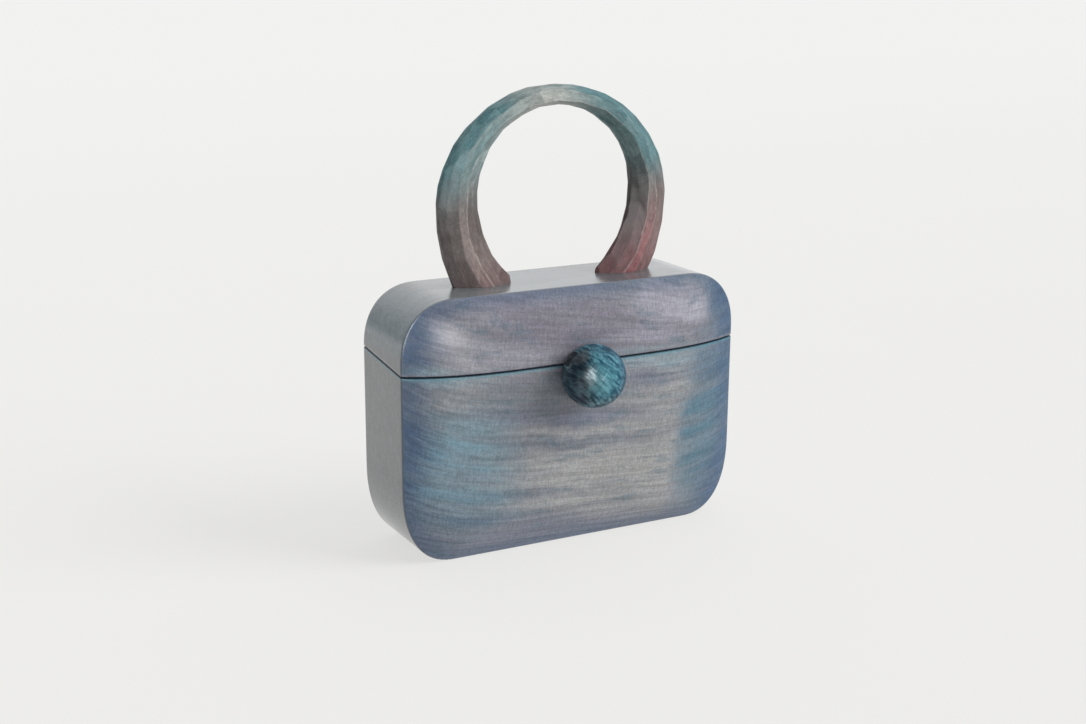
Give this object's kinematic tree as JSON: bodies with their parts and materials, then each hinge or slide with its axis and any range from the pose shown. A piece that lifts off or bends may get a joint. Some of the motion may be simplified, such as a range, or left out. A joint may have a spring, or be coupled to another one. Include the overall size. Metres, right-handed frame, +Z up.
{
  "type": "wooden handbag",
  "caption": "Small hard handbag of carved, dyed wood: a hollow domed box, a lid hinged at the back, a ring handle on the lid and a ball clasp that laps over the seam.",
  "frame": {"origin": "middle of the flat base that the bag stands on, half way between the two creases of the band", "axes": "+Z up along the bag's height, -Y towards the front with the ball clasp, +X to the right as seen from the front"},
  "size_m": [0.19, 0.0962, 0.2304],
  "materials": {
    "body_wood": "dyed blue and grey, satin",
    "lid_wood": "dyed mauve and blue, satin",
    "handle_wood": "carved, dyed teal to brown and red, satin",
    "knob_wood": "carved, dyed teal, satin",
    "hinge_brass": "plain, slightly dull"
  },
  "bodies": {
    "body": {"body": "body_wood", "hinge_leaf_body_left": "hinge_brass", "hinge_leaf_body_right": "hinge_brass", "hinge_pin_left": "hinge_brass", "hinge_pin_right": "hinge_brass"},
    "lid": {"lid": "lid_wood", "handle": "handle_wood", "hinge_leaf_lid_left": "hinge_brass", "hinge_leaf_lid_right": "hinge_brass"},
    "knob": {"knob": "knob_wood"}
  },
  "joints": [
    {"name": "lid_hinge", "type": "hinge", "parent": "body", "child": "lid", "pos_m": [0, 0.0352, 0.10373], "axis": [-1, 0, 0], "range_deg": [0, 90]},
    {"name": "knob_turn", "type": "hinge", "parent": "body", "child": "knob", "pos_m": [0, -0.0427, 0.0912], "axis": [0, -1, 0], "range_deg": [-51, 39]}
  ]
}
